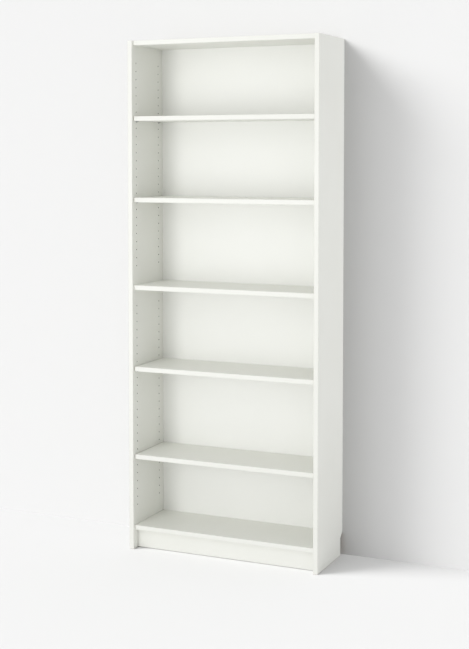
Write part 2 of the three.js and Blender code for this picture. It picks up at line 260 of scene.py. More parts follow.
# Scales of the patterns in the finishes. The larger is the finer.
FOIL_CLOUDS, FOIL_SWELLS, FOIL_RUBS, FOIL_PEBBLES = 4, 70, 220, 900
LACQUER_CLOUDS, LACQUER_FIBRES = 3, 420
CHIP_GROUPS, CHIPS, CHIP_GRAINS = 130, 520, 1400
BORE_GRAINS = 900
HARDBOARD_CLOUDS, HARDBOARD_SCREEN, HARDBOARD_FIBRES = 9, 290, 500
ZINC_CLOUDS, ZINC_SCUFFS = 160, 1500
CASTING_CLOUDS, CASTING_GRAINS = 240, 2200
NAIL_CLOUDS = 420
BEECH_GRAINS, BEECH_FLECKS = 160, 700

# Depths of the relief in the finishes
FOIL_RELIEF = 0.03 * MM
LACQUER_RELIEF = 0.04 * MM
CHIPBOARD_RELIEF = 0.25 * MM
BORE_RELIEF = 0.2 * MM
HARDBOARD_RELIEF = 0.12 * MM
ZINC_RELIEF = 0.01 * MM
CASTING_RELIEF = 0.03 * MM
NAIL_RELIEF = 0.02 * MM
BEECH_RELIEF = 0.05 * MM

# Softboxes that light the bookcase: name, degrees round from the front (left is negative),
# distance, height, width and power. Each faces the case, at its own height or at the top.
SOFTBOXES = [
    ("low_front_softbox", -17, 3.4, 0.45, 1.0, 7.5),
    ("front_softbox", -17, 3.4, 1.3, 1.18, 16.1),
    ("high_front_softbox", -17, 3.4, 2.5, 1.18, 8.2),
    ("upper_front_softbox", -17, 3.4, 3.4, 1.18, 6.4),
    ("right_softbox", 105, 2.6, 1.2, 1.2, 4.4),
    ("top_softbox", 0, 0, 4.2, 1.0, 17.0),
]
# Far lamps that light the stage: name, degrees round, degrees up, width in degrees, strength
STAGE_LAMPS = [
    ("shadow_lamp", -48, 33, 25, 0.8),
    ("left_lamp", -57, 30, 32, 2.8),
    ("low_front_lamp", -20, 20, 40, 1.1),
]
# The strength of the even light from all round, and the stage's size and its gaps to the part
SKY_LEVEL = 0.69
STAGE_REACH = 14.0
WALL_HEIGHT = 9.0
WALL_GAP = 0.2 * MM
FLOOR_GAP = 0.5 * MM


class Term:
    """A node's output. A sum, difference or product of it becomes a Math node."""

    def __init__(self, finish, socket):
        self.finish = finish
        self.socket = socket

    def combined(self, operation, first, second):
        return self.finish.node("ShaderNodeMath", {"operation": operation}, {0: first, 1: second})

    def __add__(self, other):
        return self.combined("ADD", self, other)

    def __radd__(self, other):
        return self.combined("ADD", other, self)

    def __sub__(self, other):
        return self.combined("SUBTRACT", self, other)

    def __rsub__(self, other):
        return self.combined("SUBTRACT", other, self)

    def __mul__(self, other):
        return self.combined("MULTIPLY", self, other)

    def __rmul__(self, other):
        return self.combined("MULTIPLY", other, self)


class Finish:
    """The node tree of one material, or of the world."""

    def __init__(self, owner):
        owner.use_nodes = True
        self.owner = owner
        self.tree = owner.node_tree
        self.tree.nodes.clear()

    def node(self, kind, settings=None, sockets=None, output=0):
        """Adds a node: its settings first, then the values or links of its sockets."""
        made = self.tree.nodes.new(kind)
        for key, value in (settings or {}).items():
            setattr(made, key, value)
        for key, value in (sockets or {}).items():
            if isinstance(value, Term):
                self.tree.links.new(value.socket, made.inputs[key])
            else:
                made.inputs[key].default_value = value
        return Term(self, made.outputs[output]) if made.outputs else None

    def place(self):
        return self.node("ShaderNodeTexCoord", output="Object")

    def stretched(self, vector, scale):
        return self.node("ShaderNodeMapping", {}, {"Vector": vector, "Scale": scale})

    def noise(self, vector, scale, detail, roughness=0.5):
        sockets = {"Vector": vector, "Scale": scale, "Detail": detail, "Roughness": roughness}
        return self.node("ShaderNodeTexNoise", {}, sockets)

    def spread(self, value, low, high):
        """Stretches a range to 0 to 1 and cuts off what lies outside it."""
        sockets = {"Value": value, "From Min": low, "From Max": high}
        return self.node("ShaderNodeMapRange", {"clamp": True}, sockets)

    def blend(self, share, first, second):
        """Mixes two colours. A Mix node takes them in sockets 6 and 7 and gives output 2."""
        settings = {"data_type": "RGBA", "clamp_factor": True}
        return self.node("ShaderNodeMix", settings, {0: share, 6: first, 7: second}, output=2)

    def bump(self, height, distance, strength):
        sockets = {"Height": height, "Distance": distance, "Strength": strength}
        return self.node("ShaderNodeBump", {}, sockets)

    def surface(self, **sockets):
        """Ends a material in a shader. An underscore stands for the space in a socket's name."""
        named = {key.replace("_", " "): value for key, value in sockets.items()}
        return self.output(self.node("ShaderNodeBsdfPrincipled", {}, named))

    def output(self, shader, kind="ShaderNodeOutputMaterial"):
        self.node(kind, {}, {"Surface": shader})
        return self.owner


def new_finish(name):
    return Finish(bpy.data.materials.new(name))


def white_foil():
    """Foil over chipboard: an even warm white, a faint pebbled skin and rubbed edges."""
    f = new_finish("white_foil")
    place = f.place()
    cloud = f.noise(place, FOIL_CLOUDS, 3)
    pebble = f.noise(place, FOIL_PEBBLES, 2, 0.6)
    swell = f.noise(place, FOIL_SWELLS, 2)
    rub = f.noise(place, FOIL_RUBS, 4, 0.65)
    worn = f.node("ShaderNodeAttribute", {"attribute_name": "edge_wear"}, output="Fac")
    mask = f.spread(worn * 0.55 + rub * 0.75, 0.72, 1.05) * worn
    tone = f.spread(cloud * 0.75 + pebble * 0.25, 0.3, 0.7)
    plain = f.blend(tone, FOIL_SHADE, FOIL_WHITE)
    return f.surface(
        Base_Color=f.blend(mask * 0.5, plain, FOIL_WORN),
        Roughness=0.40 + pebble * 0.10 + mask * 0.15,
        Normal=f.bump(pebble * 0.7 + swell * 1.2, FOIL_RELIEF, 0.6),
    )


def white_lacquer():
    """The back panel's front: lacquer that follows the pressed fibres a little."""
    f = new_finish("white_lacquer")
    place = f.place()
    cloud = f.noise(place, LACQUER_CLOUDS, 3)
    fibre = f.noise(f.stretched(place, (1, 1, 0.35)), LACQUER_FIBRES, 3, 0.6)
    tone = f.spread(cloud * 0.6 + fibre * 0.4, 0.32, 0.68)
    return f.surface(
        Base_Color=f.blend(tone, BACK_SHADE, BACK_WHITE),
        Roughness=0.48 + fibre * 0.12,
        Normal=f.bump(fibre, LACQUER_RELIEF, 0.5),
    )


def raw_chipboard():
    """Sawn chipboard: wood chips of mixed tones with small dark voids between them."""
    f = new_finish("raw_chipboard")
    laid = f.stretched(f.place(), (0.7, 0.7, 1.0))
    settings = {"feature": "F1", "distance": "EUCLIDEAN"}
    chips = f.node("ShaderNodeTexVoronoi", settings, {"Vector": laid, "Scale": CHIPS}, output="Color")
    tone = f.node("ShaderNodeSeparateColor", {}, {"Color": chips}, output="Red")
    fine = f.noise(laid, CHIP_GRAINS, 3, 0.7)
    broad = f.noise(laid, CHIP_GROUPS, 3, 0.6)
    void = f.spread(broad * 0.6 + fine * 0.4, 0.36, 0.46)
    chip = f.blend(f.spread(tone * 0.7 + broad * 0.3, 0.1, 0.8), CHIP_MIDDLE, CHIP_PALE)
    return f.surface(
        Base_Color=f.blend(void, CHIP_DARK, chip),
        Roughness=0.82 + fine * 0.12,
        Normal=f.bump(void * 0.7 + tone * 0.3 + fine * 0.3, CHIPBOARD_RELIEF, 0.7),
    )


def shaded_bore_chipboard():
    """The wall of a drilled hole: rough, with painted shade that makes it far darker than bare
    chipboard, in a fine grain of two dark tones.
    """
    f = new_finish("shaded_bore_chipboard")
    grain = f.noise(f.place(), BORE_GRAINS, 3, 0.7)
    return f.surface(
        Base_Color=f.blend(f.spread(grain, 0.35, 0.65), BORE_SHADE_DARK, BORE_SHADE_GREY),
        Roughness=0.85 + grain * 0.1,
        Normal=f.bump(grain, BORE_RELIEF, 0.6),
    )


def brown_hardboard():
    """The back panel's rear: pressed brown fibre with the print of the press screen."""
    f = new_finish("brown_hardboard")
    place = f.place()
    cloud = f.noise(place, HARDBOARD_CLOUDS, 4, 0.6)
    fibre = f.noise(f.stretched(place, (1, 1, 0.5)), HARDBOARD_FIBRES, 4, 0.7)
    wires = []
    for direction in ("X", "Z"):
        settings = {"wave_type": "BANDS", "bands_direction": direction, "wave_profile": "SIN"}
        shape = {"Scale": HARDBOARD_SCREEN, "Distortion": 1.2, "Detail": 2, "Detail Scale": 0.4}
        wires.append(f.node("ShaderNodeTexWave", settings, {"Vector": place, **shape}, output="Fac"))
    screen = wires[0] * wires[1]
    tone = f.spread(cloud * 0.55 + fibre * 0.45, 0.28, 0.72)
    base = f.blend(tone, FIBRE_DARK, FIBRE_PALE)
    return f.surface(
        Base_Color=f.blend(screen * 0.22, base, FIBRE_DARK),
        Roughness=0.68 + fibre * 0.2,
        Normal=f.bump(screen * 0.8 + fibre * 0.5, HARDBOARD_RELIEF, 0.7),
    )


def zinc_plate():
    """Bright zinc plating with faint warm clouds and tumbling marks."""
    f = new_finish("zinc_plate")
    place = f.place()
    cloud = f.noise(place, ZINC_CLOUDS, 3)
    scuff = f.noise(f.stretched(place, (1, 3, 1)), ZINC_SCUFFS, 3, 0.7)
    return f.surface(
        Base_Color=f.blend(f.spread(cloud, 0.42, 0.66), ZINC_PALE, ZINC_WARM),
        Metallic=0.9,
        Roughness=0.28 + scuff * 0.16,
        Normal=f.bump(scuff, ZINC_RELIEF, 0.5),
    )


def zinc_casting():
    """Die-cast zinc: dull grey, a little grainy."""
    f = new_finish("zinc_casting_skin")
    place = f.place()
    grain = f.noise(place, CASTING_GRAINS, 3, 0.7)
    cloud = f.noise(place, CASTING_CLOUDS, 3)
    return f.surface(
        Base_Color=f.blend(f.spread(cloud * 0.6 + grain * 0.4, 0.3, 0.7), CASTING_DARK, CASTING_PALE),
        Metallic=0.8,
        Roughness=0.46 + grain * 0.14,
        Normal=f.bump(grain, CASTING_RELIEF, 0.6),
    )


def nail_steel():
    """Nail heads: steel in dull and bright clouds."""
    f = new_finish("nail_steel")
    cloud = f.noise(f.place(), NAIL_CLOUDS, 3)
    return f.surface(
        Base_Color=f.blend(f.spread(cloud, 0.35, 0.65), NAIL_DULL, NAIL_BRIGHT),
        Metallic=0.85,
        Roughness=0.35 + cloud * 0.2,
        Normal=f.bump(cloud, NAIL_RELIEF, 0.5),
    )


def beech_wood():
    """Grooved beech dowel: fine lengthwise grain with short dark flecks."""
    f = new_finish("beech_wood")
    place = f.place()
    grain = f.noise(f.stretched(place, (1, 9, 9)), BEECH_GRAINS, 4, 0.6)
    fleck = f.noise(f.stretched(place, (1, 6, 6)), BEECH_FLECKS, 2)
    tone = f.spread(grain * 0.7 + fleck * 0.3, 0.35, 0.62)
    return f.surface(
        Base_Color=f.blend(tone, BEECH_DARK, BEECH_PALE),
        Roughness=0.62 + fleck * 0.15,
        Normal=f.bump(grain, BEECH_RELIEF, 0.5),
    )


FOIL = white_foil()
LACQUER = white_lacquer()
CHIPBOARD = raw_chipboard()
SHADED_BORE = shaded_bore_chipboard()
HARDBOARD = brown_hardboard()
ZINC = zinc_plate()
CASTING = zinc_casting()
NAIL = nail_steel()
BEECH = beech_wood()
BOARD_FINISHES = [FOIL, CHIPBOARD, SHADED_BORE]

# What the softboxes light, and what the far lamps light
BOOKCASE = bpy.data.collections.new("bookcase")
STAGE = bpy.data.collections.new("stage")


def show(bm, name, body, finishes, nodes=()):
    """Turns a bmesh into a piece that rides on a body and stands for its CAD nodes."""
    mesh = bpy.data.meshes.new(name)
    bm.to_mesh(mesh)
    bm.free()
    mesh.shade_smooth()
    mesh.set_sharp_from_angle(angle=SMOOTH_ANGLE)
    for finish in finishes:
        mesh.materials.append(finish)
    piece = bpy.data.objects.new(name, mesh)
    bpy.context.scene.collection.objects.link(piece)
    BOOKCASE.objects.link(piece)
    weighted = piece.modifiers.new("even_shading", "WEIGHTED_NORMAL")
    weighted.keep_sharp = True
    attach(piece, body)
    if nodes:
        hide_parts(*nodes)


def everything(bm):
    return [*bm.verts, *bm.edges, *bm.faces]


def verts_of(geometry):
    return [part for part in geometry if isinstance(part, bmesh.types.BMVert)]


def faces_of(geometry):
    return [part for part in geometry if isinstance(part, bmesh.types.BMFace)]


def round_edges(bm, edges, size, steps):
    bmesh.ops.bevel(
        bm,
        geom=edges,
        offset=size,
        offset_type="OFFSET",
        segments=steps,
        profile=0.5,
        affect="EDGES",
        material=-1,
        clamp_overlap=True,
    )


def extruded(points, push):
    """A closed solid from a flat outline, pushed along a vector."""
    bm = bmesh.new()
    outline = bm.faces.new([bm.verts.new(point) for point in points])
    made = bmesh.ops.extrude_face_region(bm, geom=[outline])
    bmesh.ops.translate(bm, verts=verts_of(made["geom"]), vec=push)
    bmesh.ops.recalc_face_normals(bm, faces=bm.faces)
    return bm


def add_wear(bm, spared=()):
    """Marks how close the surface is to an edge: 1 on the edges, 0 from a band's width inwards."""
    layer = bm.verts.layers.float.new("edge_wear")
    for vert in bm.verts:
        vert[layer] = 1.0
    broad = [face for face in bm.faces if face.calc_area() > BROAD_AREA and face not in spared]
    bmesh.ops.inset_individual(bm, faces=broad, thickness=WEAR_BAND, use_even_offset=True)
    for face in broad:
        for vert in face.verts:
            vert[layer] = 0.0


def holds(face, point):
    """Whether a flat box-shaped face holds a point."""
    for i in range(3):
        along = [vert.co[i] for vert in face.verts]
        if not min(along) - TOUCH <= point[i] <= max(along) + TOUCH:
            return False
    return True


def flat_faces(bm, normal):
    return [face for face in bm.faces if face.normal.dot(normal) > SQUARE]


def cut_cell(bm, fields, centre, half, directions):
    """Cuts a square cell round a point out of the flat faces in a list, and takes it off the list."""
    face = next(field for field in fields if holds(field, centre))
    fields.remove(face)
    for direction in directions:
        for sign in (1, -1):
            made = bmesh.ops.bisect_plane(
                bm,
                geom=[face, *face.edges, *face.verts],
                dist=TOUCH,
                plane_co=centre + sign * half * direction,
                plane_no=direction,
            )
            parts = faces_of(made["geom"])
            face = next(part for part in parts if holds(part, centre))
            fields.extend(part for part in parts if part is not face)
    return face


def rim_in_cell(bm, face, centre, radius, steps, directions):
    """Turns a square cell's face into a round one with a flat ring about it."""
    across, along = directions
    bmesh.ops.bisect_edges(bm, edges=list(face.edges), cuts=steps // 4 - 1, edge_percents={})
    inset = RIM_INSET_SHARE * radius
    bmesh.ops.inset_individual(bm, faces=[face], thickness=inset, use_even_offset=True)
    turn = 2 * math.pi / steps

    def bearing(vert):
        arm = vert.co - centre
        return (math.atan2(arm.dot(along), arm.dot(across)) + turn / 4) % (2 * math.pi)

    for step, vert in enumerate(sorted(face.verts, key=bearing)):
        angle = turn * step
        vert.co = centre + radius * (math.cos(angle) * across + math.sin(angle) * along)


def drill(bm, fields, centre, directions, cell, radius, depth, steps, cone=0.0):
    """Drills a blind hole into the flat faces in a list."""
    face = cut_cell(bm, fields, centre, cell, directions)
    rim_in_cell(bm, face, centre, radius, steps, directions)
    inward = -face.normal.copy()
    made = bmesh.ops.extrude_discrete_faces(bm, faces=[face])
    floor = made["faces"][0]
    bmesh.ops.translate(bm, verts=list(floor.verts), vec=inward * depth)
    for edge in floor.edges:
        for bared in edge.link_faces:
            bared.material_index = BORE_INDEX
    if cone:
        bmesh.ops.poke(bm, faces=[floor], offset=-cone)


def cross_points(centre, arm, half_width, across, along):
    """The outline of a cross recess, corner and middle of each stretch by turns."""
    corners = []
    for quarter in range(4):
        c, s = math.cos(quarter * math.pi / 2), math.sin(quarter * math.pi / 2)
        for a, b in ((arm, half_width), (half_width, half_width), (half_width, arm)):
            corners.append(centre + (c * a - s * b) * across + (s * a + c * b) * along)
    points = []
    for corner, following in zip(corners, corners[1:] + corners[:1]):
        points += [corner, (corner + following) / 2]
    return points


def cross_recess(bm, face, centre, arm, half_width, depth, across, along):
    """Sinks a cross-shaped driver recess in a round face."""
    inward = -face.normal.copy()
    bmesh.ops.inset_individual(bm, faces=[face], thickness=RECESS_INSET, use_even_offset=True)

    def bearing(point):
        return math.atan2((point - centre).dot(along), (point - centre).dot(across)) % (2 * math.pi)

    targets = sorted(cross_points(centre, arm, half_width, across, along), key=bearing)
    spare = len(face.verts) // len(targets)
    ring = sorted(face.verts, key=lambda vert: bearing(vert.co))
    for i, vert in enumerate(ring):
        start, share = divmod(i, spare)
        following = targets[(start + 1) % len(targets)]
        vert.co = targets[start].lerp(following, share / spare)
    made = bmesh.ops.extrude_discrete_faces(bm, faces=[face])
    bmesh.ops.translate(bm, verts=list(made["faces"][0].verts), vec=inward * depth)


def box_middle(node):
    low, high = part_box(node)
    return (low + high) / 2


def inner_face(hand):
    """The place in X of a side's inner face."""
    low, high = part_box("side_panel_" + hand)
    return low.x if SIDES[hand] > 0 else high.x


def peg_rows():
    """Heights of the drilled rows. None is close to the fixed shelf."""
    middle = box_middle("fixed_shelf").z
    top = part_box("side_panel_left")[1].z - PEG_TOP_MARGIN
    count = int((top - PEG_LOWEST + TOUCH) / PEG_PITCH) + 1
    rows = [PEG_LOWEST + i * PEG_PITCH for i in range(count)]
    return [z for z in rows if abs(z - middle) > PEG_FREE_BAND]


def peg_columns():
    """Places of the front and rear columns of holes."""
    boxes = [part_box(f"shelf_pin_1_{place}_left") for place in PLACES]
    return [(low.y + high.y) / 2 for low, high in boxes]


def open_groove(bm, floor, near, far, inward):
    """Cuts the back panel's groove, which runs out at both ends of a side's inner face."""
    for place, normal in ((Y * near, Y), (Y * far, Y), (X * floor, X)):
        bmesh.ops.bisect_plane(bm, geom=everything(bm), dist=TOUCH, plane_co=place, plane_no=normal)
    doomed = []
    for face in bm.faces:
        middle = face.calc_center_median()
        if near < middle.y < far and (middle.x - floor) * inward > 0:
            doomed.append(face)
    bmesh.ops.delete(bm, geom=doomed, context="FACES")
    rim = dict.fromkeys(vert for edge in bm.edges if edge.is_boundary for vert in edge.verts)
    for y in (near, far):
        ends = [vert for vert in rim if abs(vert.co.x - floor) < TOUCH and abs(vert.co.y - y) < TOUCH]
        bm.edges.new(ends)
    for axis, place in ((1, near), (1, far), (0, floor)):
        wall = []
        for edge in bm.edges:
            on_plane = all(abs(vert.co[axis] - place) < TOUCH for vert in edge.verts)
            if on_plane and len(edge.link_faces) < 2 and all(vert in rim for vert in edge.verts):
                wall.append(edge)
        for sawn in bmesh.ops.edgeloop_fill(bm, edges=wall)["faces"]:
            sawn.material_index = BARE_INDEX
    bmesh.ops.recalc_face_normals(bm, faces=bm.faces)


def side_board(hand):
    """A side: its outline with the skirting notch, the groove, and the drilled rows."""
    node = "side_panel_" + hand
    low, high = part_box(node)
    notch_front = high.y - NOTCH_DEPTH
    outline = [
        (low.x, low.y, low.z),
        (low.x, notch_front, low.z),
        (low.x, notch_front, low.z + NOTCH_HEIGHT),
        (low.x, high.y, low.z + NOTCH_HEIGHT + NOTCH_RISE),
        (low.x, high.y, high.z),
        (low.x, low.y, high.z),
    ]
    bm = extruded(outline, X * (high.x - low.x))
    round_edges(bm, everything(bm), BOARD_EASE, EASE_STEPS)
    add_wear(bm)
    for face in bm.faces:
        if face.normal.y > FACING or face.normal.z < -LEANING:
            face.material_index = BARE_INDEX
    side, inner = SIDES[hand], inner_face(hand)
    back_low, back_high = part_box("back_panel")
    open_groove(bm, inner + side * GROOVE_DEPTH, back_low.y - FIT_GAP, back_high.y + FIT_GAP, -side)
    fields = flat_faces(bm, -side * X)

    def bore(y, z, radius, depth, cone=0.0):
        drill(bm, fields, Vector((inner, y, z)), (Z, Y), PEG_CELL, radius, depth, PEG_STEPS, cone)

    for z in peg_rows():
        for y in peg_columns():
            bore(y, z, PEG_RADIUS, PEG_DEPTH, PEG_CONE)
    for joint, board in FIXED_BOARDS.items():
        z = box_middle(board).z
        for y in peg_columns():
            bore(y, z, PEG_RADIUS, PEG_DEPTH)
        bore(box_middle(f"dowel_{joint}_{hand}").y, z, DOWEL_BORE_RADIUS, DOWEL_BORE_DEPTH)
    peg = box_middle("dowel_plinth_" + hand)
    bore(peg.y, peg.z, DOWEL_BORE_RADIUS, DOWEL_BORE_DEPTH)
    show(bm, hand + "_side", "case", BOARD_FINISHES, [node])


def eased_box(low, high, ease, steps):
    """A box between two corners, with rounded edges."""
    bm = bmesh.new()
    size, middle = high - low, (low + high) / 2
    bmesh.ops.create_cube(bm, size=1, matrix=Matrix.Translation(middle) @ Matrix.Diagonal((*size, 1)))
    round_edges(bm, everything(bm), ease, steps)
    return bm


def board_blank(low, high):
    """A foil-covered board, sawn at its left and right ends."""
    bm = eased_box(low, high, BOARD_EASE, EASE_STEPS)
    ends = [face for face in bm.faces if abs(face.normal.x) > SQUARE]
    add_wear(bm, spared=ends)
    for face in ends:
        face.material_index = BARE_INDEX
    return bm


def drill_ends(bm, low, high, places, radius, depth):
    """Drills bores into both ends of a board."""
    for end, outward in ((low.x, -X), (high.x, X)):
        fields = flat_faces(bm, outward)
        for y, z in places:
            drill(bm, fields, Vector((end, y, z)), (Z, Y), END_CELL, radius, depth, PEG_STEPS)


def fixed_board(joint):
    """A board that the cam fittings hold. Its cams lie in round pockets in its top or its underside."""
    node = FIXED_BOARDS[joint]
    facing = CAM_FACING[joint]
    low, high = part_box(node)
    bm = board_blank(low, high)
    surface = high.z if facing > 0 else low.z
    fields = flat_faces(bm, facing * Z)
    for place in PLACES:
        for hand in SIDES:
            cam = box_middle(f"cam_lock_{joint}_{place}_{hand}")
            centre = Vector((cam.x, cam.y, surface))
            drill(bm, fields, centre, (Y, X), CAM_CELL, CAM_POCKET_RADIUS, CAM_POCKET_DEPTH, CAM_STEPS)
    z = box_middle(node).z
    neck = CAM_SETBACK - CAM_POCKET_RADIUS - FIT_GAP
    drill_ends(bm, low, high, [(y, z) for y in peg_columns()], BOLT_BORE_RADIUS, neck)
    peg = box_middle(f"dowel_{joint}_left")
    drill_ends(bm, low, high, [(peg.y, z)], DOWEL_BORE_RADIUS, DOWEL_BORE_IN_BOARD)
    show(bm, joint + "_board", "case", BOARD_FINISHES, [node])


def plinth_board():
    """The set-back board under the bottom shelf, held by a dowel in each end."""
    low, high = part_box("plinth")
    bm = board_blank(low, high)
    peg = box_middle("dowel_plinth_left")
    drill_ends(bm, low, high, [(peg.y, peg.z)], DOWEL_BORE_RADIUS, DOWEL_BORE_IN_BOARD)
    show(bm, "plinth_board", "case", BOARD_FINISHES, ["plinth"])


def loose_board(number):
    """A shelf that lies on its pins and comes out of the case."""
    node = f"adjustable_shelf_{number}"
    bm = board_blank(*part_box(node))
    show(bm, f"loose_board_{number}", f"loose_shelf_{number}", BOARD_FINISHES, [node])


def hardboard_back():
    """The thin back: white lacquer in front, raw pressed fibre behind."""
    bm = eased_box(*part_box("back_panel"), BACK_EASE, SMALL_EASE_STEPS)
    for face in bm.faces:
        if face.normal.y > -FACING:
            face.material_index = BARE_INDEX
    show(bm, "hardboard_back", "case", [LACQUER, HARDBOARD], ["back_panel"])


def back_nails():
    """Flat-headed nails through the back into the three fixed boards."""
    rng = random.Random(NAIL_SEED)
    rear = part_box("back_panel")[1].y
    bm = bmesh.new()
    for node in FIXED_BOARDS.values():
        low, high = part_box(node)
        middle = (low.z + high.z) / 2
        pitch = (high.x - low.x - 2 * NAIL_MARGIN) / (NAILS_PER_BOARD - 1)
        for i in range(NAILS_PER_BOARD):
            x = low.x + NAIL_MARGIN + i * pitch + rng.uniform(-NAIL_WANDER, NAIL_WANDER)
            z = middle + rng.uniform(-NAIL_WANDER, NAIL_WANDER) / 2
            lean = Matrix.Rotation(rng.uniform(-NAIL_LEAN, NAIL_LEAN), 4, "Z")
            lay = Matrix.Translation((x, rear, z)) @ lean @ Matrix.Rotation(-math.pi / 2, 4, "X")
            made = bmesh.ops.create_cone(
                bm,
                cap_ends=True,
                segments=NAIL_STEPS,
                radius1=NAIL_HEAD_RADIUS,
                radius2=NAIL_TOP_SHARE * NAIL_HEAD_RADIUS,
                depth=2 * NAIL_HEAD_RISE,
                matrix=lay,
            )
            edges = dict.fromkeys(edge for vert in made["verts"] for edge in vert.link_edges)
            round_edges(bm, list(edges), NAIL_EASE_SHARE * NAIL_HEAD_RISE, SMALL_EASE_STEPS)
    show(bm, "back_nails", "case", [NAIL])


def join(bm, other):
    """Adds another bmesh's solid to this one."""
    carrier = bpy.data.meshes.new("carrier")
    other.to_mesh(carrier)
    other.free()
    bm.from_mesh(carrier)
    bpy.data.meshes.remove(carrier)


def turned(profile, steps, axis):
    """A turned piece about an axis through the origin. Its profile is (place on the axis, radius)."""
    bm = bmesh.new()
    path = [bm.verts.new(axis * place + axis.zyx * radius) for place, radius in profile]
    edges = [bm.edges.new(pair) for pair in zip(path, path[1:])]
    bmesh.ops.spin(
        bm,
        geom=[*path, *edges],
        axis=axis,
        cent=(0, 0, 0),
        steps=steps,
        angle=2 * math.pi,
        use_merge=True,
    )
    bmesh.ops.remove_doubles(bm, verts=bm.verts, dist=TOUCH)
    bmesh.ops.recalc_face_normals(bm, faces=bm.faces)
    return bm


def seat_on_side(bm, hand, y, z):
    """Moves a fitting made along X to a side's inner face, pointing into the case."""
    turn = Matrix.Rotation(math.pi if SIDES[hand] > 0 else 0, 4, "Z")
    bmesh.ops.transform(bm, matrix=Matrix.Translation((inner_face(hand), y, z)) @ turn, verts=bm.verts)


def pin_angle():
    """A shelf pin's plate and tab in one piece, with rounded corners."""
    outline = [
        (PIN_PLATE_START, PIN_TAB_BOTTOM),
        (PIN_TAB_END, PIN_TAB_BOTTOM),
        (PIN_TAB_END, PIN_TAB_TOP),
        (PIN_PLATE_END, PIN_TAB_TOP),
        (PIN_PLATE_END, PIN_PLATE_RISE),
        (PIN_PLATE_START, PIN_PLATE_RISE),
    ]
    bm = extruded([(x, -PIN_WIDTH / 2, z) for x, z in outline], Y * PIN_WIDTH)
    corners = []
    for edge in bm.edges:
        a, b = (vert.co for vert in edge.verts)
        run = (a - b).normalized()
        at_tab_end = all(abs(end.x - PIN_TAB_END) < TOUCH for end in (a, b))
        at_plate_top = all(abs(end.z - PIN_PLATE_RISE) < TOUCH for end in (a, b))
        if (abs(run.z) > SQUARE and at_tab_end) or (abs(run.x) > SQUARE and at_plate_top):
            corners.append(edge)
    round_edges(bm, corners, PIN_TAB_CORNER, PIN_TAB_CORNER_STEPS)
    round_edges(bm, everything(bm), PIN_EASE, SMALL_EASE_STEPS)
    return bm


def pin_rib():
    """The web under a shelf pin's tab. Its upper edge is sunk in the tab."""
    rib_end = PIN_TAB_END - PIN_RIB_FOOT
    rib_top = PIN_TAB_TOP - PIN_TAB_THICKNESS / 2
    outline = [
        (PIN_PLATE_START, PIN_TAB_BOTTOM - PIN_RIB_DROP),
        (PIN_PLATE_END, PIN_TAB_BOTTOM - PIN_RIB_DROP),
        (rib_end, PIN_TAB_BOTTOM),
        (rib_end, rib_top),
        (PIN_PLATE_START, rib_top),
    ]
    bm = extruded([(x, -PIN_RIB_THICKNESS / 2, z) for x, z in outline], Y * PIN_RIB_THICKNESS)
    round_edges(bm, everything(bm), PIN_EASE, SMALL_EASE_STEPS)
    return bm


def pin_shaft():
    """A shelf pin's shaft with its rounded tip. Its other end is sunk in the plate."""
    end = PIN_PLATE_START + PIN_PLATE_THICKNESS / 2
    length = PIN_SHAFT_LENGTH + end
    bm = bmesh.new()
    bmesh.ops.create_cone(
        bm,
        cap_ends=True,
        segments=PIN_STEPS,
        radius1=PIN_SHAFT_RADIUS,
        radius2=PIN_SHAFT_RADIUS,
        depth=length,
        matrix=Matrix.Translation((end - length / 2, 0, 0)) @ Matrix.Rotation(math.pi / 2, 4, "Y"),
    )
    tip = [edge for edge in bm.edges if all(vert.co.x < -PIN_SHAFT_LENGTH / 2 for vert in edge.verts)]
    round_edges(bm, tip, PIN_TIP, PIN_TIP_STEPS)
    return bm


def shelf_pin(number, place, hand):
    """A stepped steel pin: a shaft in the hole, a plate beside the shelf, a ribbed tab below it."""
    node = f"shelf_pin_{number}_{place}_{hand}"
    low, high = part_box(node)
    bm = pin_angle()
    join(bm, pin_rib())
    join(bm, pin_shaft())
    seat_on_side(bm, hand, (low.y + high.y) / 2, high.z - PIN_PLATE_RISE)
    show(bm, f"pin_{number}_{place}_{hand}", "case", [ZINC], [node])


def cam_cup():
    """A cam's turned cup, standing on its drive face, with a window in its wall for the bolt."""
    profile = [
        (0, 0),
        (0, CAM_RADIUS - CAM_EDGE),
        (CAM_EDGE, CAM_RADIUS),
        (CAM_WINDOW_LOW, CAM_RADIUS),
        (CAM_WINDOW_HIGH, CAM_RADIUS),
        (CAM_HEIGHT, CAM_RADIUS),
        (CAM_HEIGHT, CAM_CHAMBER_RADIUS),
        (CAM_WINDOW_HIGH, CAM_CHAMBER_RADIUS),
        (CAM_WINDOW_LOW, CAM_CHAMBER_RADIUS),
        (CAM_FLOOR, CAM_CHAMBER_RADIUS),
        (CAM_FLOOR, 0),
    ]
    bm = turned(profile, CAM_STEPS, Z)
    window = []
    for face in bm.faces:
        middle = face.calc_center_median()
        bearing = abs(math.atan2(middle.y, -middle.x))
        if CAM_WINDOW_LOW < middle.z < CAM_WINDOW_HIGH and bearing < CAM_WINDOW_HALF_ANGLE:
            window.append(face)
    bmesh.ops.delete(bm, geom=window, context="FACES")
    rims = [edge for edge in bm.edges if edge.is_boundary]
    bmesh.ops.bridge_loops(bm, edges=rims)
    return bm


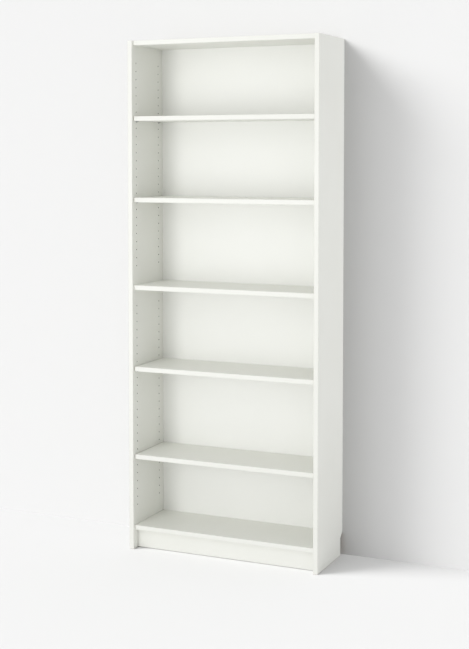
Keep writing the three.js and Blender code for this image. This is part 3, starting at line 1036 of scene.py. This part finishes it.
def cam_lock(joint, place, hand):
    """A cam: its cup, and a drive face with a cross and a raised mark that points to the bolt."""
    bm = cam_cup()
    drive = [face for face in bm.faces if face.calc_center_median().z < TOUCH]
    faces = bmesh.ops.dissolve_faces(bm, faces=drive, use_verts=True)["region"]
    cross_recess(bm, faces[0], Vector(), CAM_CROSS_ARM, CAM_CROSS_HALF_WIDTH, CAM_CROSS_DEPTH, X, Y)
    base = CAM_MARK_SIZE - CAM_MARK_REACH
    mark = [(-CAM_MARK_REACH, 0, 0), (base, -CAM_MARK_SIZE / 2, 0), (base, CAM_MARK_SIZE / 2, 0)]
    join(bm, extruded(mark, -Z * CAM_MARK_RISE))
    bmesh.ops.recalc_face_normals(bm, faces=bm.faces)
    node = f"cam_lock_{joint}_{place}_{hand}"
    low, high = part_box(node)
    middle = (low + high) / 2
    facing = CAM_FACING[joint]
    surface = high.z if facing > 0 else low.z
    flip = Matrix.Rotation(math.pi if facing > 0 else 0, 4, "X")
    turn = Matrix.Rotation(math.pi if SIDES[hand] > 0 else 0, 4, "Z")
    seat = Matrix.Translation((middle.x, middle.y, surface))
    bmesh.ops.transform(bm, matrix=seat @ turn @ flip, verts=bm.verts)
    show(bm, f"cam_{joint}_{place}_{hand}", "case", [CASTING], [node])


def bracket_hole(bm, ends, directions):
    """Joins two round openings, one in each of two opposite flat faces, by a wall."""
    rims = []
    for fields, centre in ends:
        face = cut_cell(bm, fields, centre, BRACKET_CELL, directions)
        rim_in_cell(bm, face, centre, BRACKET_HOLE_RADIUS, BRACKET_HOLE_STEPS, directions)
        rims.append(face)
    edges = [edge for face in rims for edge in face.edges]
    bmesh.ops.delete(bm, geom=rims, context="FACES_ONLY")
    bmesh.ops.bridge_loops(bm, edges=edges)


def edges_at(bm, y, z):
    """The edges that run along X at one place."""
    chosen = []
    for edge in bm.edges:
        if all(abs(vert.co.y - y) < TOUCH and abs(vert.co.z - z) < TOUCH for vert in edge.verts):
            chosen.append(edge)
    return chosen


def bent_strap(low, high):
    """A strap with a foot, a bend and a leg, and with rounded corners at its free ends."""
    outline = [
        (low.x, low.y, low.z),
        (low.x, high.y, low.z),
        (low.x, high.y, high.z),
        (low.x, high.y - BRACKET_THICKNESS, high.z),
        (low.x, high.y - BRACKET_THICKNESS, low.z + BRACKET_THICKNESS),
        (low.x, low.y, low.z + BRACKET_THICKNESS),
    ]
    bm = extruded(outline, X * (high.x - low.x))
    outer_bend = edges_at(bm, high.y, low.z)
    inner_bend = edges_at(bm, high.y - BRACKET_THICKNESS, low.z + BRACKET_THICKNESS)
    free = []
    for edge in bm.edges:
        a, b = (vert.co for vert in edge.verts)
        short = (a - b).length < BRACKET_THICKNESS + TOUCH
        if short and (abs(a.y - low.y) < TOUCH or abs(a.z - high.z) < TOUCH):
            free.append(edge)
    round_edges(bm, outer_bend, BRACKET_BEND + BRACKET_THICKNESS, BRACKET_BEND_STEPS)
    round_edges(bm, inner_bend, BRACKET_BEND, BRACKET_BEND_STEPS)
    free = [edge for edge in free if edge.is_valid]
    round_edges(bm, free, BRACKET_CORNER, BRACKET_CORNER_STEPS)
    rims = [edge for edge in bm.edges if edge.calc_face_angle() > BRACKET_SHARP]
    round_edges(bm, rims, BRACKET_EASE, SMALL_EASE_STEPS)
    return bm


def angle_bracket():
    """A bent steel strap: a foot screwed to the top panel and a leg against the wall."""
    low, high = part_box("wall_bracket")
    bm = bent_strap(low, high)
    foot = low.y + BRACKET_FOOT_HOLE
    foot_ends = [
        (flat_faces(bm, Z), Vector((0, foot, low.z + BRACKET_THICKNESS))),
        (flat_faces(bm, -Z), Vector((0, foot, low.z))),
    ]
    bracket_hole(bm, foot_ends, (X, Y))
    leg = high.z - BRACKET_WALL_HOLE
    leg_ends = [
        (flat_faces(bm, Y), Vector((0, high.y, leg))),
        (flat_faces(bm, -Y), Vector((0, high.y - BRACKET_THICKNESS, leg))),
    ]
    bracket_hole(bm, leg_ends, (X, Z))
    bmesh.ops.recalc_face_normals(bm, faces=bm.faces)
    show(bm, "angle_bracket", "case", [ZINC], ["wall_bracket"])


def bracket_screw():
    """A pan-head screw through the bracket's foot."""
    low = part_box("wall_bracket")[0]
    profile = [(0, 0), (0, SCREW_HEAD_RADIUS)]
    for i in range(1, SCREW_DOME_STEPS + 1):
        angle = math.pi / 2 * i / SCREW_DOME_STEPS
        rise = SCREW_RIM_SHARE + (1 - SCREW_RIM_SHARE) * math.sin(angle)
        reach = SCREW_TOP_SHARE + (1 - SCREW_TOP_SHARE) * math.cos(angle)
        profile.append((SCREW_HEAD_RISE * rise, SCREW_HEAD_RADIUS * reach))
    bm = turned(profile, SCREW_STEPS, Z)
    rim = [edge for edge in bm.edges if edge.is_boundary]
    cap = bmesh.ops.edgeloop_fill(bm, edges=rim)["faces"][0]
    bmesh.ops.recalc_face_normals(bm, faces=bm.faces)
    top = Z * SCREW_HEAD_RISE
    cross_recess(bm, cap, top, SCREW_ARM, SCREW_ARM_HALF_WIDTH, SCREW_RECESS_DEPTH, X, Y)
    seat = Matrix.Translation((0, low.y + BRACKET_FOOT_HOLE, low.z + BRACKET_THICKNESS))
    bmesh.ops.transform(bm, matrix=seat @ Matrix.Rotation(SCREW_TURN, 4, "Z"), verts=bm.verts)
    show(bm, "bracket_screw", "case", [ZINC])


def scale_round_x(vert, radius):
    """Moves a vertex of a turned piece to another distance from its axis."""
    reach = math.hypot(vert.co.y, vert.co.z)
    vert.co.y *= radius / reach
    vert.co.z *= radius / reach


def cam_bolt(joint, place, hand):
    """A steel bolt: a threaded stud in the side, a collar, a neck and a head inside the cam."""
    node = f"cam_bolt_{joint}_{place}_{hand}"
    thread_start = BOLT_TIP - BOLT_STUD_LENGTH
    thread_end = -BOLT_THREAD_END
    cut = (thread_end - thread_start) / BOLT_THREAD_CUTS
    collar_end = FIT_GAP + BOLT_COLLAR_LENGTH
    head_start = FIT_GAP + CAM_SETBACK - BOLT_HEAD_LENGTH / 2
    head_end = head_start + BOLT_HEAD_LENGTH
    profile = [(-BOLT_STUD_LENGTH, 0), (-BOLT_STUD_LENGTH, BOLT_ROOT_RADIUS - BOLT_EASE)]
    profile += [(thread_start + i * cut, BOLT_ROOT_RADIUS) for i in range(BOLT_THREAD_CUTS + 1)]
    profile += [
        (FIT_GAP, BOLT_ROOT_RADIUS),
        (FIT_GAP, BOLT_COLLAR_RADIUS - BOLT_EASE),
        (FIT_GAP + BOLT_EASE, BOLT_COLLAR_RADIUS),
        (collar_end - BOLT_EASE, BOLT_COLLAR_RADIUS),
        (collar_end, BOLT_COLLAR_RADIUS - BOLT_EASE),
        (collar_end, BOLT_NECK_RADIUS),
        (head_start, BOLT_NECK_RADIUS),
        (head_start, BOLT_HEAD_RADIUS - BOLT_EASE),
        (head_start + BOLT_EASE, BOLT_HEAD_RADIUS),
        (head_end - BOLT_EASE, BOLT_HEAD_RADIUS),
        (head_end, BOLT_HEAD_RADIUS - BOLT_EASE),
        (head_end, 0),
    ]
    bm = turned(profile, BOLT_STEPS, X)
    for vert in bm.verts:
        if thread_start - TOUCH < vert.co.x < thread_end + TOUCH:
            turn = math.atan2(vert.co.z, vert.co.y) / (2 * math.pi)
            phase = (vert.co.x / BOLT_THREAD_PITCH - turn) % 1
            crest = max(0, 1 - abs(4 * phase - 2))
            scale_round_x(vert, BOLT_ROOT_RADIUS + crest * (BOLT_STUD_RADIUS - BOLT_ROOT_RADIUS))
    seat = box_middle(node)
    seat_on_side(bm, hand, seat.y, seat.z)
    show(bm, f"bolt_{joint}_{place}_{hand}", "case", [ZINC], [node])


def dowel(joint, hand):
    """A beech dowel with fine grooves along it and chamfered ends."""
    node = f"dowel_{joint}_{hand}"
    tip = DOWEL_RADIUS - DOWEL_CHAMFER
    profile = [
        (-DOWEL_IN_SIDE, 0),
        (-DOWEL_IN_SIDE, tip),
        (DOWEL_CHAMFER - DOWEL_IN_SIDE, DOWEL_RADIUS),
        (DOWEL_IN_BOARD - DOWEL_CHAMFER, DOWEL_RADIUS),
        (DOWEL_IN_BOARD, tip),
        (DOWEL_IN_BOARD, 0),
    ]
    steps = DOWEL_GROOVES * DOWEL_STEPS_PER_GROOVE
    bm = turned(profile, steps, X)
    for vert in bm.verts:
        reach = math.hypot(vert.co.y, vert.co.z)
        step = round(math.atan2(vert.co.z, vert.co.y) / (2 * math.pi) * steps)
        if reach > DOWEL_RADIUS - TOUCH and step % DOWEL_STEPS_PER_GROOVE == 0:
            scale_round_x(vert, DOWEL_RADIUS - DOWEL_GROOVE_DEPTH)
    seat = box_middle(node)
    seat_on_side(bm, hand, seat.y, seat.z)
    show(bm, f"wooden_dowel_{joint}_{hand}", "case", [BEECH], [node])


def build_bookcase():
    for hand in SIDES:
        side_board(hand)
    for joint in FIXED_BOARDS:
        fixed_board(joint)
    plinth_board()
    hardboard_back()
    back_nails()
    for number in LOOSE_SHELVES:
        loose_board(number)
    for place in PLACES:
        for hand in SIDES:
            for number in LOOSE_SHELVES:
                shelf_pin(number, place, hand)
            for joint in FIXED_BOARDS:
                cam_lock(joint, place, hand)
                cam_bolt(joint, place, hand)
    for joint in (*FIXED_BOARDS, "plinth"):
        for hand in SIDES:
            dowel(joint, hand)
    angle_bracket()
    bracket_screw()


def camera():
    """The photograph's view. Its shift is kept small, because the views from other sides keep it."""
    lens = bpy.data.cameras.new("studio_camera")
    lens.sensor_width = SENSOR_SIZE
    lens.lens = FOCAL_PIXELS / PHOTO_HEIGHT * SENSOR_SIZE
    lens.shift_y = SHIFT_PIXELS / PHOTO_HEIGHT
    stand = bpy.data.objects.new("studio_camera", lens)
    stand.location = CAMERA_PLACE
    stand.rotation_euler = (math.radians(90 + CAMERA_TILT), 0, math.radians(CAMERA_TURN))
    bpy.context.scene.collection.objects.link(stand)
    bpy.context.scene.camera = stand


def lamp(name, kind, shape, receivers):
    """A lamp that lights the objects of one collection."""
    light = bpy.data.lights.new(name, kind)
    for setting, value in shape.items():
        setattr(light, setting, value)
    stand = bpy.data.objects.new(name, light)
    stand.light_linking.receiver_collection = receivers
    bpy.context.scene.collection.objects.link(stand)
    return stand


def lamps():
    """Softboxes for the bookcase, and far lamps that light the stage and cast its shadow."""
    for name, turn, distance, height, width, power in SOFTBOXES:
        bearing = math.radians(turn)
        stand = lamp(name, "AREA", {"shape": "DISK", "size": width, "energy": power}, BOOKCASE)
        place = Vector((math.sin(bearing) * distance, -math.cos(bearing) * distance, height))
        aim = Vector((0, 0, min(height, cad_box[1].z)))
        stand.location = place
        stand.rotation_euler = (aim - place).to_track_quat("-Z", "Y").to_euler()
    for name, turn, rise, width, strength in STAGE_LAMPS:
        stand = lamp(name, "SUN", {"angle": math.radians(width), "energy": strength}, STAGE)
        stand.rotation_euler = (math.radians(90 - rise), 0, math.radians(turn))


def sky():
    """Even light from all round. The camera and bright metal see it as plain white."""
    f = Finish(bpy.data.worlds.new("studio_sky"))
    seen = f.node("ShaderNodeLightPath", output="Is Camera Ray")
    for ray in ("Is Glossy Ray", "Is Transmission Ray"):
        seen += f.node("ShaderNodeLightPath", output=ray)
    light = f.node("ShaderNodeBackground", {}, {"Color": (1, 1, 1, 1), "Strength": SKY_LEVEL})
    white = f.node("ShaderNodeBackground", {}, {"Color": SKY_WHITE, "Strength": 1.0})
    both = f.node("ShaderNodeMixShader", {}, {0: seen, 1: light, 2: white})
    bpy.context.scene.world = f.output(both, "ShaderNodeOutputWorld")


def plane(name, low, high, finish):
    """A flat stage piece between two corners."""
    bm = bmesh.new()
    corners = [low, (high[0], low[1], low[2]), high, (low[0], high[1], high[2])]
    bm.faces.new([bm.verts.new(corner) for corner in corners])
    mesh = bpy.data.meshes.new(name)
    bm.to_mesh(mesh)
    bm.free()
    mesh.materials.append(finish)
    stage_piece = bpy.data.objects.new(name, mesh)
    bpy.context.scene.collection.objects.link(stage_piece)
    STAGE.objects.link(stage_piece)


def floor_finish():
    f = new_finish("studio_floor")
    return f.output(f.node("ShaderNodeBsdfDiffuse", {}, {"Color": FLOOR_WHITE}))


def wall_finish():
    """A matt wall that the camera sees from the front. All other light goes through it."""
    f = new_finish("studio_wall")
    clear = f.node("ShaderNodeBsdfTransparent")
    matt = f.node("ShaderNodeBsdfDiffuse", {}, {"Color": WALL_WHITE})
    camera_ray = f.node("ShaderNodeLightPath", output="Is Camera Ray")
    behind = f.node("ShaderNodeNewGeometry", output="Backfacing")
    shown = camera_ray * (1 - behind)
    return f.output(f.node("ShaderNodeMixShader", {}, {0: shown, 1: clear, 2: matt}))


def studio():
    camera()
    lamps()
    sky()
    wall = cad_box[1].y + WALL_GAP
    near, far = -STAGE_REACH, STAGE_REACH
    plane("studio_floor", (near, near, -FLOOR_GAP), (far, far, -FLOOR_GAP), floor_finish())
    plane("studio_wall", (near, wall, -FLOOR_GAP), (far, wall, WALL_HEIGHT), wall_finish())


build_bookcase()
studio()

bpy.context.scene.view_settings.view_transform = "Standard"
